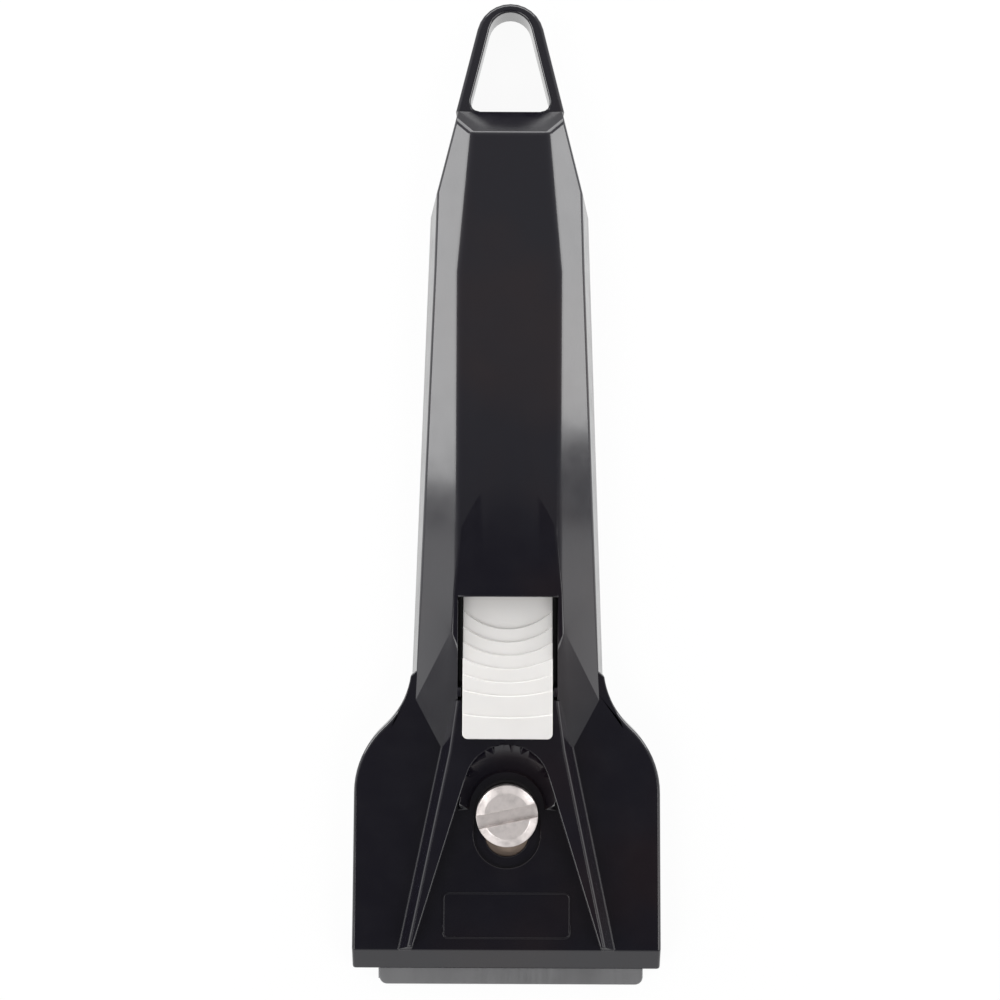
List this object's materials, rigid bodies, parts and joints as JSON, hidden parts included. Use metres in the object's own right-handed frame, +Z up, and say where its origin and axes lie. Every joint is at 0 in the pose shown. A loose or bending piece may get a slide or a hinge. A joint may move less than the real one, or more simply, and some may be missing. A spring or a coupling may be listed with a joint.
{
  "type": "ceramic hob scraper",
  "caption": "Black plastic ceramic hob scraper with a white thumb slider, a slotted clamp screw, a grey plate at the mouth and a hanging loop.",
  "frame": {"origin": "Under the middle of the whole object's box, on the surface that its flat back lies on.", "axes": "+Z up out of the face with the slider and the screw, +Y along the grip to the hanging loop, -Y towards the blade, +X across to the right of the picture."},
  "size_m": [0.0472, 0.1494, 0.0122],
  "materials": {
    "black_plastic": "gloss",
    "white_plastic": "satin",
    "grey_steel": "satin",
    "blade_steel": "satin",
    "plated_steel": "polished"
  },
  "bodies": {
    "handle": {"handle_shell": "black_plastic", "rear_cover": "black_plastic", "cover_screws": "plated_steel", "support_plate": "grey_steel", "plate_rivets": "plated_steel"},
    "slider": {"thumb_slider": "white_plastic", "blade_carriage": "grey_steel", "blade": "blade_steel", "blade_back_strip": "grey_steel", "clamp_nut": "plated_steel"},
    "washer": {"lock_washer": "plated_steel"},
    "screw": {"clamp_screw": "plated_steel"}
  },
  "joints": [
    {"name": "slider_travel", "type": "slide", "parent": "handle", "child": "slider", "axis": [0, -1, 0], "range_m": [0, 0.0032]},
    {"name": "screw_turn", "type": "hinge", "parent": "washer", "child": "screw", "pos_m": [0, -0.04825, 0.008], "axis": [0, 0, 1], "range_deg": [0, 360]},
    {"name": "screw_lift", "type": "slide", "parent": "slider", "child": "washer", "axis": [0, 0, 1], "range_m": [0, 0.0008]}
  ],
  "couplings": [
    {"joint": "screw_turn", "follows": "screw_lift", "rad_per_m": 7854}
  ]
}
